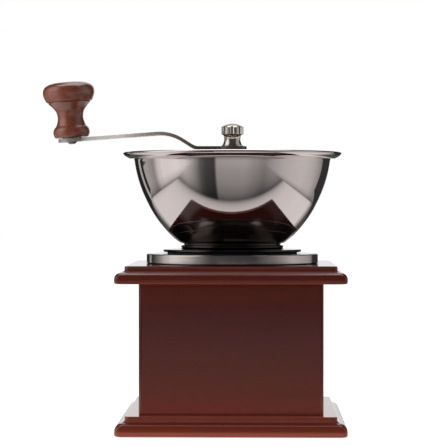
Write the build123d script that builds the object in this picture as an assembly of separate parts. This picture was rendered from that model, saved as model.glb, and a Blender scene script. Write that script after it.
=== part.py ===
from build123d import *
import os
from math import cos, dist, pi, radians, sin, tan

# Hand-cranked box coffee mill, in millimetres.
# +Z is up and the origin is the centre of the felt's underside, on the crank shaft's axis.
# The crank points to -X at rest and the drawer opens towards +Y.

# Clearances
FIT = 0.05  # between pieces that stay together
RUN_FIT = 0.08  # radial, round the shaft
LIFT = 0.3  # between faces that slide or turn on each other
SIDE_GAP = 0.4  # drawer to its opening
RIVET_FIT = 0.1  # radial, knob on its axle

# Moulded plates
PLATE_OVERHANG = 13.0  # beyond the case on every side
PLATE_CORNER = 3.0
BASE_THICK = 11.0
TOP_THICK = 10.0
LOW_ROUND = 1.2
BEAD_FACE = 2.8  # height of the ovolo's straight face
BEAD_INSET = 2.8
COVE_DROP = 3.7  # from the plate's top down to the ovolo
STEP_INSET = 5.5
STEP_DROP = 2.5
STEP_ROUND = 0.6

# Case
CASE_SIDE = 104.0
CASE_HEIGHT = 74.0
CASE_EDGE = 2.0
WALL = 8.0
FELT_THICK = 1.5
FELT_PROUD = 0.5
FELT_MARGIN = 11.0
FELT_CORNER = 4.0
FIXING_SPREAD = 28.0  # fixings in the side panels, in front of and behind the axis
BASE_SCREW_R = 1.75
BASE_SCREW_HEAD_R = 3.6
BASE_SCREW_BITE = 16.0
DOWEL_R = 3.0
DOWEL_DEPTH = 8.0
DOWEL_COVER = 3.0

# Drawer
RAIL_HEIGHT = 30.0
FRONT_THICK = 10.0
FRONT_PROUD = 1.0
FRONT_EDGE = 1.2
TRAY_DROP = 5.1
TRAY_SIDE = 5.0
TRAY_BOTTOM = 3.0
TRAY_BACK_GAP = 0.8
PULL_LENGTH = 15.0
PULL_R = 9.0
PULL_STEM_R = 4.8
PULL_FOOT_R = 6.2
PULL_SCREW_R = 2.0
PULL_SCREW_HEAD_R = 3.8
PULL_SCREW_HEAD = 2.2
PULL_BITE = 8.5

# Hopper and its seat
RING_R = 50.5
RING_HEIGHT = 5.8
RING_SHEET = 1.0
RING_EDGE = 0.8
GASKET_THICK = 0.9
GASKET_INSET = 2.7
FLANGE_R = 40.7
FLANGE_THICK = 1.6
FOOT_HEIGHT = 4.8
FOOT_BEAD = 1.8
NECK_R = 28.4
BOWL_SHEET = 0.8
BOWL_FLOOR_OVER = 2.0
BOWL_TOP_R = 57.7
BOWL_DEPTH = 49.4
BOWL_BULGE = 5.58
BOWL_BEND = 2.5
RIM_R = 64.3
RIM_RISE = 3.1
LIP_R = 1.0
SCREW_R = 1.5
SCREW_HEAD_R = 2.8
SCREW_HEAD = 1.8
SCREW_EDGE = 3.4  # from the clamping screws' axes out to the neck
SCREW_FLOOR = 0.8

# Shaft bridge and bushes
BRIDGE_DROP = 7.0  # from the rim down to the bridge's top
BRIDGE_SHEET = 1.6
BRIDGE_WIDTH = 14.0
BRIDGE_BEND = 2.0
BRIDGE_LEAN = 1.0
BRIDGE_TOE = 2.0
HEAD_ROOM = 2.4
THROAT_STEP = 0.7
BUSH_WALL = 1.3
BUSH_RIM = 1.8
BUSH_FLANGE = 1.2
UPPER_BUSH_LENGTH = 6.5

# Burr set
BURR_SINK = 7.5  # from the top plate's face down to the outer burr
BURR_HEIGHT = 23.0
BURR_WALL = 2.6
BURR_TWIST = 40.0
GRIND_GAP = 1.3
OUTER_TEETH = 15
OUTER_TOOTH_LOW = 0.9
OUTER_TOOTH_TOP = 2.6
MOUTH_STEP = 1.9  # the outer burr's mouth is narrower than its exit by this
INNER_TEETH = 12
INNER_LOW_R = 18.2
INNER_MID_R = 14.2
INNER_TOP_R = 10.0
INNER_TOOTH_LOW = 1.8
INNER_TOOTH_MID = 2.6
INNER_TOOTH_TOP = 1.4
INNER_RAISE = 0.5
INNER_HEIGHT = 20.5
SKIRT = 2.0
HOUSING_WALL = 2.0
HOUSING_RIM = 8.0
HOUSING_LIP = 1.0
HOUSING_SCREW_R = 1.6
HOUSING_SCREW_HEAD_R = 3.2
HOUSING_SCREW_OUT = 4.0
HOUSING_SCREW_COVER = 1.8
DECK_GAP = 0.5
RETAINER_THICK = 2.0
RETAINER_BITE = 0.95
RETAINER_WIDTH = 3.1
RETAINER_SPLIT = 5.0
SPIDER_RAISE = 2.0
SPIDER_HEIGHT = 6.0
SPIDER_ARM = 4.0
HUB_WALL = 1.7
SPRING_SINK = 6.0
SPRING_WIRE_R = 0.5
SPRING_ROOM = 0.6
SPRING_TURNS = 4.5
NUT_HEIGHT = 7.7
NUT_R = 12.0
NUT_LOBE_R = 2.6
NUT_LOBES = 8

# Shaft and crank
SHAFT_R = 4.0
HEX_ROOM = 0.1
STUD_R = 2.95
STUD_LENGTH = 8.6
THREAD_END = 2.5
COLLAR_R = 7.0
COLLAR_HEIGHT = 8.0
ARM_THICK = 2.0
ARM_WIDTH = 11.0
ARM_HUB_R = 8.5
ARM_END_R = 8.0
ARM_FLAT = 21.9
ARM_CREST = 36.1
ARM_RISE = 9.0
ARM_SLOPE = 4.2
ARM_REACH = 94.2
ARM_LOW_BEND = 9.0
ARM_CREST_BEND = 24.0
WASHER_R = 6.2
WASHER_THICK = 0.6
CAP_HEIGHT = 12.8
CAP_R = 6.9
CAP_NECK_R = 4.85
CAP_FOOT_R = 5.8
CAP_NECK_HEIGHT = 6.4
CAP_DOME = 2.4
CAP_FLUTES = 10
FLUTE_R = 1.5
FLUTE_DEPTH = 0.8
KNOB_HEIGHT = 32.3
KNOB_R = 15.2
KNOB_WAIST_R = 7.55
KNOB_FOOT_R = 10.7
KNOB_FOOT_HEIGHT = 6.0
KNOB_NECK_HEIGHT = 20.2
KNOB_WASHER_R = 5.5
KNOB_WASHER = 0.5
AXLE_R = 2.0
AXLE_HEAD_R = 4.0
AXLE_HEAD = 1.8
RIVET_R = 2.7
RIVET_HEIGHT = 1.4

# Levels, from the table up
Z_BASE = FELT_PROUD
Z_CASE = Z_BASE + BASE_THICK
Z_TOP = Z_CASE + CASE_HEIGHT
Z_DECK = Z_TOP + TOP_THICK
Z_RING = Z_DECK + RING_HEIGHT
Z_FOOT = Z_RING + GASKET_THICK
Z_BOWL = Z_FOOT + FOOT_HEIGHT
Z_FLOOR = Z_BOWL + BOWL_SHEET
Z_WALL = Z_BOWL + BOWL_DEPTH
Z_RIM = Z_WALL + RIM_RISE
Z_BRIDGE = Z_RIM - BRIDGE_DROP
Z_COLLAR = Z_BRIDGE + BUSH_FLANGE + LIFT
Z_ARM = Z_COLLAR + COLLAR_HEIGHT
Z_WASHER = Z_ARM + ARM_THICK
Z_CAP = Z_WASHER + WASHER_THICK
Z_CAP_TOP = Z_CAP + CAP_HEIGHT

# Levels, from the top plate down
Z_CLAMP = Z_RING - RING_SHEET
Z_BURR_TOP = Z_DECK - BURR_SINK
Z_BURR = Z_BURR_TOP - BURR_HEIGHT
Z_HOUSING = Z_BURR - RETAINER_THICK - HOUSING_LIP
Z_SPIDER = Z_BURR_TOP + SPIDER_RAISE
Z_SPIDER_TOP = Z_SPIDER + SPIDER_HEIGHT
Z_CONE = Z_BURR + INNER_RAISE
Z_CONE_TOP = Z_CONE + INNER_HEIGHT
Z_SPRING = Z_CONE_TOP - SPRING_SINK
Z_NUT_TOP = Z_CONE - LIFT
Z_NUT = Z_NUT_TOP - NUT_HEIGHT

# Sizes that follow from the pieces beside them
PLATE_SIDE = CASE_SIDE + 2 * PLATE_OVERHANG
SCREW_PITCH_R = NECK_R - SCREW_EDGE
BRIDGE_LEG = SCREW_PITCH_R - SCREW_HEAD_R - HEAD_ROOM - BRIDGE_SHEET
THROAT_R = BRIDGE_LEG - THROAT_STEP
BUSH_BORE_R = SHAFT_R + RUN_FIT
BUSH_R = BUSH_BORE_R + BUSH_WALL
HUB_R = BUSH_R + FIT + HUB_WALL
EXIT_R = INNER_LOW_R + GRIND_GAP
MOUTH_R = EXIT_R - MOUTH_STEP
BURR_R = EXIT_R + OUTER_TOOTH_LOW + BURR_WALL
HOUSING_R = BURR_R + FIT + HOUSING_WALL
HOUSING_FLANGE_R = HOUSING_R + HOUSING_RIM
HOUSING_SCREW_AT = HOUSING_R + HOUSING_SCREW_OUT
SPRING_R = SHAFT_R + SPRING_ROOM + SPRING_WIRE_R
SPRING_POCKET_R = SPRING_R + SPRING_WIRE_R + SPRING_ROOM


def block(x, y, z):
    """Box between two values on each axis."""
    size = [abs(b - a) for a, b in (x, y, z)]
    middle = [(a + b) / 2 for a, b in (x, y, z)]
    return Pos(*middle) * Box(*size)


def rod(radius, low, high, x=0.0, y=0.0):
    """Upright cylinder between two heights."""
    return Pos(x, y, (low + high) / 2) * Cylinder(radius, high - low)


def tube(outer_r, inner_r, low, high):
    """Upright ring between two heights."""
    return rod(outer_r, low, high) - rod(inner_r, low - 1, high + 1)


def at(r, z):
    """Point of the XZ plane, from its radius and height."""
    return (r, 0, z)


def turned(outline):
    """Solid of revolution about Z from a closed outline of (radius, height) corners."""
    loop = Polyline(*[at(r, z) for r, z in outline], close=True)
    return revolve(make_face(loop), Axis.Z)


def turned_edges(edges):
    """Solid of revolution about Z from a closed loop of edges in the XZ plane."""
    return revolve(make_face(edges), Axis.Z)


def around(shape, count, start=0.0):
    """Copies of a shape spaced evenly about Z."""
    return [Rot(0, 0, start + i * 360 / count) * shape for i in range(count)]


def sheet(line, thick):
    """Face in the XZ plane of sheet metal seen edge on: a flat line thickened to its left."""
    outline = line.offset_2d(thick, side=Side.LEFT, closed=True)
    return Rot(90, 0, 0) * make_face(outline.edges())


def flanged_bush(low, high):
    """Plain bush for the shaft, with a flange on top of the piece that holds it."""
    return turned(
        [
            (BUSH_BORE_R, low),
            (BUSH_R, low),
            (BUSH_R, high),
            (BUSH_R + BUSH_RIM, high),
            (BUSH_R + BUSH_RIM, high + BUSH_FLANGE),
            (BUSH_BORE_R, high + BUSH_FLANGE),
        ]
    )


def wood_screw(head_r, shank_r, length):
    """Countersunk screw with its head's face at z = 0, pointing to -Z."""
    sink = head_r - shank_r
    point = length - 2 * shank_r
    return turned([(0, 0), (head_r, 0), (shank_r, -sink), (shank_r, -point), (0.3, -length), (0, -length)])


def pan_screw(head_r, head_height, shank_r, length):
    """Pan-head screw with its head seated on z = 0, pointing to -Z, with a cross slot."""
    body = turned(
        [
            (0, head_height),
            (head_r * 0.72, head_height),
            (head_r, head_height * 0.55),
            (head_r, 0),
            (shank_r, 0),
            (shank_r, -length),
            (0, -length),
        ]
    )
    slot = Pos(0, 0, head_height) * (Box(head_r * 1.3, 0.7, 1.0) + Box(0.7, head_r * 1.3, 1.0))
    return body - slot


def moulded_plate(thick):
    """Square plate with an ovolo, a cove and a step along all four edges, mitred at the corners."""
    half = PLATE_SIDE / 2
    bead = (half - BEAD_INSET, thick - COVE_DROP)
    step = (half - STEP_INSET, thick - STEP_DROP)
    with BuildSketch(Plane.XZ) as section:
        with BuildLine():
            Line((0, 0), (half - LOW_ROUND, 0))
            TangentArc((half - LOW_ROUND, 0), (half, LOW_ROUND), tangent=(1, 0))
            Line((half, LOW_ROUND), (half, BEAD_FACE))
            TangentArc((half, BEAD_FACE), bead, tangent=(0, 1))
            TangentArc(bead, step, tangent=(-1, 0.1))
            Line(step, (step[0], thick - STEP_ROUND))
            TangentArc((step[0], thick - STEP_ROUND), (step[0] - STEP_ROUND, thick), tangent=(0, 1))
            Line((step[0] - STEP_ROUND, thick), (0, thick))
            mirror(about=Plane.YZ)
        make_face()
    bar = extrude(section.sketch, PLATE_SIDE, both=True)
    outline = extrude(RectangleRounded(PLATE_SIDE, PLATE_SIDE, PLATE_CORNER), thick)
    return bar & (Rot(0, 0, 90) * bar) & outline


# Case: moulded base and top plates, three full panels and a rail above the drawer
half_case = CASE_SIDE / 2
inner = half_case - WALL
wall_middle = half_case - WALL / 2
fixing_at = [(x, y) for x in (wall_middle, -wall_middle) for y in (FIXING_SPREAD, -FIXING_SPREAD)]
recess_top = Z_BASE + FELT_THICK - FELT_PROUD
base_screw_length = Z_CASE - recess_top + BASE_SCREW_BITE
base_screw = Rot(180, 0, 0) * wood_screw(BASE_SCREW_HEAD_R, BASE_SCREW_R, base_screw_length)
base_screws = [Pos(x, y, recess_top) * base_screw for x, y in fixing_at]
base_screw_hole = wood_screw(BASE_SCREW_HEAD_R + FIT, BASE_SCREW_R + FIT, base_screw_length + FIT)
base_screw_holes = [Pos(x, y, recess_top) * Rot(180, 0, 0) * base_screw_hole for x, y in fixing_at]

felt_side = PLATE_SIDE - 2 * FELT_MARGIN
base_felt = extrude(RectangleRounded(felt_side, felt_side, FELT_CORNER), FELT_THICK)
recess_side = felt_side + 2 * LIFT
felt_recess = extrude(RectangleRounded(recess_side, recess_side, FELT_CORNER + LIFT), recess_top)
base_plate = Pos(0, 0, Z_BASE) * moulded_plate(BASE_THICK) - felt_recess - base_screw_holes

dowel_low = Z_TOP - DOWEL_DEPTH
dowel_high = Z_DECK - DOWEL_COVER
top_dowels = [rod(DOWEL_R, dowel_low, dowel_high, x, y) for x, y in fixing_at]
dowel_holes = [rod(DOWEL_R + FIT, dowel_low - FIT, dowel_high + FIT, x, y) for x, y in fixing_at]
rear_panel = block((-half_case, half_case), (-half_case, -inner), (Z_CASE, Z_TOP))
rear_panel = fillet(rear_panel.edges().filter_by(Axis.Z).group_by(Axis.Y)[0], CASE_EDGE)
right_panel = block((inner, half_case), (-inner, half_case), (Z_CASE, Z_TOP))
front_corner = right_panel.edges().filter_by(Axis.Z).sort_by(Axis((0, 0, 0), (1, 1, 0)))[-1]
right_panel = fillet(front_corner, CASE_EDGE) - base_screw_holes - dowel_holes
left_panel = mirror(right_panel, about=Plane.YZ)
front_rail = block((-inner, inner), (inner, half_case), (Z_TOP - RAIL_HEIGHT, Z_TOP))

housing_screw_length = Z_CLAMP - Z_TOP - HOUSING_SCREW_COVER
housing_seat = Pos(HOUSING_SCREW_AT, 0, Z_CLAMP)
housing_screw = housing_seat * wood_screw(HOUSING_SCREW_HEAD_R, HOUSING_SCREW_R, housing_screw_length)
housing_screws = around(housing_screw, 3, 45)
housing_hole = wood_screw(HOUSING_SCREW_HEAD_R + FIT, HOUSING_SCREW_R + FIT, housing_screw_length + FIT)
housing_holes = around(housing_seat * housing_hole, 3, 45)
deck_hole = rod(HOUSING_R + DECK_GAP, Z_TOP - 1, Z_DECK + 1)
top_plate = Pos(0, 0, Z_TOP) * moulded_plate(TOP_THICK) - deck_hole - dowel_holes - housing_holes

# Drawer: an inset front with a turned pull, and a plain tray behind it
front_low = Z_CASE + LIFT
front_high = Z_TOP - RAIL_HEIGHT - SIDE_GAP
front_face = half_case + FRONT_PROUD
front_back = front_face - FRONT_THICK
tray_x = inner - SIDE_GAP
tray_end = TRAY_BACK_GAP - inner
tray_z = (front_low, front_high - TRAY_DROP)
pull_z = (front_low + front_high) / 2
pull_frame = Pos(0, front_face, pull_z) * Rot(-90, 0, 0)
drawer_front = block((-tray_x, tray_x), (front_back, front_face), (front_low, front_high))
drawer_front = fillet(drawer_front.faces().sort_by(Axis.Y)[-1].edges(), FRONT_EDGE)
drawer_front = drawer_front - pull_frame * rod(PULL_SCREW_R + FIT, -FRONT_THICK - 1, 1)
drawer_right_side = block((tray_x - TRAY_SIDE, tray_x), (tray_end, front_back), tray_z)
drawer_left_side = mirror(drawer_right_side, about=Plane.YZ)
tray_inside = (TRAY_SIDE - tray_x, tray_x - TRAY_SIDE)
drawer_back = block(tray_inside, (tray_end, tray_end + TRAY_SIDE), tray_z)
drawer_bottom = block(tray_inside, (tray_end + TRAY_SIDE, front_back), (front_low, front_low + TRAY_BOTTOM))

pull_rim = at(PULL_R, PULL_LENGTH * 0.73)
pull_tip = at(PULL_R / 3, PULL_LENGTH)
pull_outline = (
    Line(at(0, 0), at(PULL_FOOT_R, 0))
    + Spline(
        at(PULL_FOOT_R, 0),
        at(PULL_STEM_R, PULL_LENGTH * 0.3),
        at((PULL_R + PULL_FOOT_R) / 2, PULL_LENGTH * 0.55),
        pull_rim,
    )
    + ThreePointArc(pull_rim, at(PULL_R * 0.81, PULL_LENGTH * 0.905), pull_tip)
    + Line(pull_tip, at(0, PULL_LENGTH))
    + Line(at(0, PULL_LENGTH), at(0, 0))
)
drawer_knob = pull_frame * (turned_edges(pull_outline) - rod(PULL_SCREW_R + FIT, -1, PULL_BITE + 1))
pull_screw = pan_screw(PULL_SCREW_HEAD_R, PULL_SCREW_HEAD, PULL_SCREW_R, FRONT_THICK + PULL_BITE)
drawer_knob_screw = Pos(0, front_back, pull_z) * Rot(90, 0, 0) * pull_screw

# Burr housing: flange, cup and three-armed spider in one casting
clamp_hole = rod(SCREW_R + FIT, Z_DECK + SCREW_FLOOR, Z_FLOOR + BRIDGE_SHEET + 1, SCREW_PITCH_R, 0)
clamp_holes = around(clamp_hole, 4)
housing_cup = turned(
    [
        (THROAT_R, Z_CLAMP),
        (HOUSING_FLANGE_R, Z_CLAMP),
        (HOUSING_FLANGE_R, Z_DECK),
        (HOUSING_R, Z_DECK),
        (HOUSING_R, Z_HOUSING),
        (BURR_R + FIT, Z_HOUSING),
        (BURR_R + FIT, Z_BURR_TOP),
        (THROAT_R, Z_BURR_TOP),
    ]
)
retainer_r = BURR_R + RETAINER_BITE
groove = tube(retainer_r + FIT, BURR_R, Z_BURR - RETAINER_THICK - FIT, Z_BURR)
spider_arm = block(
    (BUSH_R + HUB_WALL / 2, THROAT_R + 0.5), (-SPIDER_ARM / 2, SPIDER_ARM / 2), (Z_SPIDER, Z_SPIDER_TOP)
)
spider_hub = tube(HUB_R, BUSH_R + FIT, Z_SPIDER, Z_SPIDER_TOP)
burr_housing = housing_cup + spider_hub + around(spider_arm, 3, 60)
burr_housing = burr_housing - groove - housing_holes - clamp_holes
burr_retainer = tube(retainer_r, retainer_r - RETAINER_WIDTH, Z_BURR - RETAINER_THICK, Z_BURR)
split = block((0, HOUSING_R), (-RETAINER_SPLIT / 2, RETAINER_SPLIT / 2), (Z_HOUSING, Z_BURR + 1))
burr_retainer = burr_retainer - split
lower_bush = flanged_bush(Z_SPIDER, Z_SPIDER_TOP)


def saw_teeth(teeth, tip, root, turn, height):
    """Saw-toothed polygon: each tooth rises slowly to its tip and drops steeply to its root."""
    points = []
    for i in range(teeth):
        tip_angle = radians(turn + i * 360 / teeth)
        root_angle = radians(turn + (i + 0.3) * 360 / teeth)
        points.append((tip * cos(tip_angle), tip * sin(tip_angle)))
        points.append((root * cos(root_angle), root * sin(root_angle)))
    return Pos(0, 0, height) * make_face(Polyline(*points, close=True))


def hexagon(inside_r, low, high):
    """Upright six-sided bar, from the radius that fits inside it."""
    return Pos(0, 0, low) * extrude(RegularPolygon(inside_r, 6, major_radius=False), high - low)


# Burrs: twisted saw teeth, far apart at the mouth and close at the exit
cone_skirt = Z_CONE + SKIRT
cone_middle = (cone_skirt + Z_CONE_TOP) / 2
low_root = INNER_LOW_R - INNER_TOOTH_LOW
inner_burr = loft(
    [
        saw_teeth(INNER_TEETH, INNER_LOW_R, low_root, 0.0, cone_skirt),
        saw_teeth(INNER_TEETH, INNER_MID_R, INNER_MID_R - INNER_TOOTH_MID, BURR_TWIST / 2, cone_middle),
        saw_teeth(INNER_TEETH, INNER_TOP_R, INNER_TOP_R - INNER_TOOTH_TOP, BURR_TWIST, Z_CONE_TOP),
    ],
    ruled=True,
)
hex_r = SHAFT_R * cos(pi / 6)
inner_burr = inner_burr + rod(low_root, Z_CONE, cone_skirt)
inner_burr = inner_burr - hexagon(hex_r + HEX_ROOM, Z_CONE - 1, Z_CONE_TOP)
inner_burr = inner_burr - rod(SPRING_POCKET_R, Z_SPRING, Z_CONE_TOP + 1)

middle_r = (EXIT_R + MOUTH_R) / 2
middle_tooth = (OUTER_TOOTH_LOW + OUTER_TOOTH_TOP) / 2
outer_cut = loft(
    [
        saw_teeth(OUTER_TEETH, EXIT_R + OUTER_TOOTH_LOW, EXIT_R, 0.0, Z_BURR - 1),
        saw_teeth(OUTER_TEETH, middle_r + middle_tooth, middle_r, BURR_TWIST / 2, (Z_BURR + Z_BURR_TOP) / 2),
        saw_teeth(OUTER_TEETH, MOUTH_R + OUTER_TOOTH_TOP, MOUTH_R, BURR_TWIST, Z_BURR_TOP + 1),
    ],
    ruled=True,
)
outer_burr = rod(BURR_R, Z_BURR, Z_BURR_TOP) - outer_cut

# Burr spring: one coil from the cone's pocket up to the spider's hub
coil_low = Z_SPRING + SPRING_WIRE_R + LIFT
coil_rise = Z_SPIDER - Z_SPRING - 2 * (SPRING_WIRE_R + LIFT)
coil = Helix(coil_rise / SPRING_TURNS, coil_rise, SPRING_R)
wire = Plane(coil @ 0, z_dir=coil % 0) * Circle(SPRING_WIRE_R)
burr_spring = Pos(0, 0, coil_low) * sweep(wire, path=coil, is_frenet=True)

adjusting_nut = rod(NUT_R - NUT_LOBE_R / 2, Z_NUT, Z_NUT_TOP)
adjusting_nut = adjusting_nut + around(rod(NUT_LOBE_R, Z_NUT, Z_NUT_TOP, NUT_R - NUT_LOBE_R), NUT_LOBES)
adjusting_nut = adjusting_nut - rod(STUD_R + RIVET_FIT, Z_NUT - 1, Z_NUT_TOP + 1)

# Hopper: collar ring, gasket, foot and bowl, clamped to the housing by four screws
ring_hole_r = THROAT_R + THROAT_STEP
ring_inside = RING_R - RING_SHEET
ring_outline = (
    Line(at(ring_hole_r, Z_RING), at(RING_R - RING_EDGE, Z_RING))
    + TangentArc(at(RING_R - RING_EDGE, Z_RING), at(RING_R, Z_RING - RING_EDGE), tangent=(1, 0, 0))
    + Line(at(RING_R, Z_RING - RING_EDGE), at(RING_R, Z_DECK + RING_EDGE))
    + TangentArc(at(RING_R, Z_DECK + RING_EDGE), at(RING_R - RING_EDGE, Z_DECK), tangent=(0, 0, -1))
    + Line(at(RING_R - RING_EDGE, Z_DECK), at(ring_inside, Z_DECK))
    + Line(at(ring_inside, Z_DECK), at(ring_inside, Z_CLAMP))
    + Line(at(ring_inside, Z_CLAMP), at(ring_hole_r, Z_CLAMP))
    + Line(at(ring_hole_r, Z_CLAMP), at(ring_hole_r, Z_RING))
)
collar_ring = turned_edges(ring_outline) - clamp_holes
hopper_gasket = tube(FLANGE_R - GASKET_INSET, ring_hole_r, Z_RING, Z_FOOT) - clamp_holes

edge_r = FLANGE_R - FLANGE_THICK / 2
flange_top = Z_FOOT + FLANGE_THICK
bead_low = flange_top + 0.6
bead_high = bead_low + FOOT_BEAD
bead_root = NECK_R + FOOT_BEAD / 2
foot_outline = (
    Line(at(THROAT_R, Z_FOOT), at(edge_r, Z_FOOT))
    + ThreePointArc(at(edge_r, Z_FOOT), at(FLANGE_R, Z_FOOT + FLANGE_THICK / 2), at(edge_r, flange_top))
    + Line(at(edge_r, flange_top), at(bead_root, bead_low))
    + ThreePointArc(
        at(bead_root, bead_low), at(NECK_R + FOOT_BEAD, (bead_low + bead_high) / 2), at(bead_root, bead_high)
    )
    + Line(at(bead_root, bead_high), at(NECK_R, bead_high + 0.2))
    + Line(at(NECK_R, bead_high + 0.2), at(NECK_R, Z_BOWL))
    + Line(at(NECK_R, Z_BOWL), at(THROAT_R, Z_BOWL))
    + Line(at(THROAT_R, Z_BOWL), at(THROAT_R, Z_FOOT))
)
hopper_foot = turned_edges(foot_outline) - clamp_holes

floor_end = (NECK_R + BOWL_FLOOR_OVER, Z_BOWL)
wall_end = (BOWL_TOP_R, Z_WALL)
bowl_line = Wire(
    [
        Line((THROAT_R, Z_BOWL), floor_end),
        SagittaArc(floor_end, wall_end, -BOWL_BULGE),
        Line(wall_end, (RIM_R - LIP_R, Z_RIM - BOWL_SHEET / 2)),
    ]
)
bowl_line = bowl_line.fillet_2d(BOWL_BEND, bowl_line.vertices().sort_by(Axis.Y)[1:-1])
hopper_bowl = revolve(sheet(bowl_line, BOWL_SHEET), Axis.Z)
hopper_bowl = hopper_bowl + Pos(0, 0, Z_RIM) * Torus(RIM_R - LIP_R, LIP_R) - clamp_holes

clamp_end = Z_DECK + SCREW_FLOOR + LIFT
hopper_screw = pan_screw(SCREW_HEAD_R, SCREW_HEAD, SCREW_R, Z_FLOOR - clamp_end)
hopper_screws = [Pos(x, 0, Z_FLOOR) * hopper_screw for x in (SCREW_PITCH_R, -SCREW_PITCH_R)]
bridge_seat = Z_FLOOR + BRIDGE_SHEET
bridge_screw = pan_screw(SCREW_HEAD_R, SCREW_HEAD, SCREW_R, bridge_seat - clamp_end)
bridge_screws = [Pos(0, y, bridge_seat) * bridge_screw for y in (SCREW_PITCH_R, -SCREW_PITCH_R)]

# Shaft bridge: an upturned U of strip steel, screwed to the hopper's floor
bridge_toe = SCREW_PITCH_R + BRIDGE_TOE
bridge_shoulder = BRIDGE_LEG - BRIDGE_LEAN
bridge_line = FilletPolyline(
    (-bridge_toe, Z_FLOOR),
    (-BRIDGE_LEG, Z_FLOOR),
    (-bridge_shoulder, Z_BRIDGE - BRIDGE_SHEET),
    (bridge_shoulder, Z_BRIDGE - BRIDGE_SHEET),
    (BRIDGE_LEG, Z_FLOOR),
    (bridge_toe, Z_FLOOR),
    radius=BRIDGE_BEND,
)
bridge_strip = extrude(sheet(Wire(bridge_line.edges()), BRIDGE_SHEET), BRIDGE_WIDTH / 2, both=True)
shaft_bridge = Rot(0, 0, 90) * bridge_strip - rod(BUSH_R + FIT, Z_FLOOR, Z_BRIDGE + 1) - clamp_holes
upper_bush = flanged_bush(Z_BRIDGE - UPPER_BUSH_LENGTH, Z_BRIDGE)

# Shaft: thread for the nut, hexagon for the burr, round for the bushes, square for the arm, stud for the cap
square_side = 2 * STUD_R + 0.1
square = Pos(0, 0, Z_ARM + ARM_THICK / 2) * Box(square_side, square_side, ARM_THICK - FIT)
hex_low = Z_CONE + SKIRT / 2
drive_shaft = (
    rod(STUD_R, Z_NUT - THREAD_END, hex_low)
    + hexagon(hex_r, hex_low, Z_BURR_TOP)
    + rod(SHAFT_R, Z_BURR_TOP, Z_ARM)
    + (square & rod(SHAFT_R, Z_ARM - 1, Z_CAP))
    + rod(STUD_R, Z_ARM, Z_WASHER + STUD_LENGTH)
)
thrust_collar = turned(
    [
        (SHAFT_R + FIT, Z_COLLAR),
        (COLLAR_R, Z_COLLAR),
        (COLLAR_R, Z_COLLAR + COLLAR_HEIGHT / 4),
        (COLLAR_R * 0.8, Z_COLLAR + COLLAR_HEIGHT / 3),
        (COLLAR_R * 0.8, Z_ARM),
        (SHAFT_R + FIT, Z_ARM),
    ]
)


def rounded_corner(before, corner, after, radius):
    """Start, middle and end of the arc that rounds a corner of a line."""
    tip = Vector(*corner)
    back = (Vector(*before) - tip).normalized()
    ahead = (Vector(*after) - tip).normalized()
    half_angle = radians(back.get_angle(ahead)) / 2
    reach = radius / tan(half_angle)
    depth = radius / sin(half_angle) - radius
    return tip + back * reach, tip + (back + ahead).normalized() * depth, tip + ahead * reach


# Crank arm: flat strip with a hub that lies level, an S-bend and a long gently falling part
slope = radians(ARM_SLOPE)
arm_middle = Z_ARM + ARM_THICK / 2
crest = (-ARM_CREST, arm_middle + ARM_RISE)
knob_middle = crest[1] - (ARM_REACH - ARM_CREST) * tan(slope)
arm_end = ARM_REACH + 2 * ARM_END_R
hub_point = (2 * ARM_HUB_R, arm_middle)
low_corner = (-ARM_FLAT, arm_middle)
end_point = (-arm_end, crest[1] - (arm_end - ARM_CREST) * tan(slope))
low_bend = rounded_corner(hub_point, low_corner, crest, ARM_LOW_BEND)
crest_bend = rounded_corner(low_corner, crest, end_point, ARM_CREST_BEND)
arm_line = Wire(
    [
        Line(hub_point, low_bend[0]),
        ThreePointArc(*low_bend),
        Line(low_bend[2], crest_bend[0]),
        ThreePointArc(*crest_bend),
        Line(crest_bend[2], end_point),
    ]
)
arm_top = arm_line.offset_2d(ARM_THICK / 2, side=Side.RIGHT, closed=False)
arm_strip = extrude(sheet(arm_top, ARM_THICK), 2 * ARM_HUB_R, both=True)
arm_plan = Circle(ARM_HUB_R) + Pos(-ARM_REACH, 0) * Circle(ARM_END_R)
arm_plan = arm_plan + Pos(-ARM_REACH / 2, 0) * Rectangle(ARM_REACH, ARM_WIDTH)
arm_blank = extrude(arm_plan, crest[1] + ARM_THICK)
knob_plane = Plane(
    origin=(-ARM_REACH, 0, knob_middle + ARM_THICK / 2 / cos(slope)),
    x_dir=(cos(slope), 0, sin(slope)),
    z_dir=(-sin(slope), 0, cos(slope)),
)
knob_frame = knob_plane.location
square_hole = Pos(0, 0, arm_middle) * Box(square_side + 2 * FIT, square_side + 2 * FIT, 3 * ARM_THICK)
axle_hole = knob_frame * rod(AXLE_R + FIT, -3 * ARM_THICK, ARM_THICK)
crank_arm = (arm_strip & arm_blank) - square_hole - axle_hole
arm_washer = tube(WASHER_R, STUD_R + RIVET_FIT, Z_WASHER, Z_CAP)

# Cap nut: flared foot, neck and a fluted, domed head
head_low = Z_CAP + CAP_NECK_HEIGHT
dome_low = Z_CAP_TOP - CAP_DOME
dome_r = (CAP_R**2 + CAP_DOME**2) / (2 * CAP_DOME)
dome_middle = at(dome_r * sin(0.35), Z_CAP_TOP - dome_r * (1 - cos(0.35)))
cap_outline = (
    Line(at(0, Z_CAP), at(CAP_FOOT_R, Z_CAP))
    + Spline(
        at(CAP_FOOT_R, Z_CAP),
        at(CAP_NECK_R, Z_CAP + CAP_NECK_HEIGHT * 0.42),
        at(CAP_NECK_R, Z_CAP + CAP_NECK_HEIGHT * 0.78),
        at(CAP_NECK_R + 0.45, head_low),
    )
    + Line(at(CAP_NECK_R + 0.45, head_low), at(CAP_R, head_low + 1.2))
    + Line(at(CAP_R, head_low + 1.2), at(CAP_R, dome_low))
    + ThreePointArc(at(CAP_R, dome_low), dome_middle, at(0, Z_CAP_TOP))
    + Line(at(0, Z_CAP_TOP), at(0, Z_CAP))
)
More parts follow.
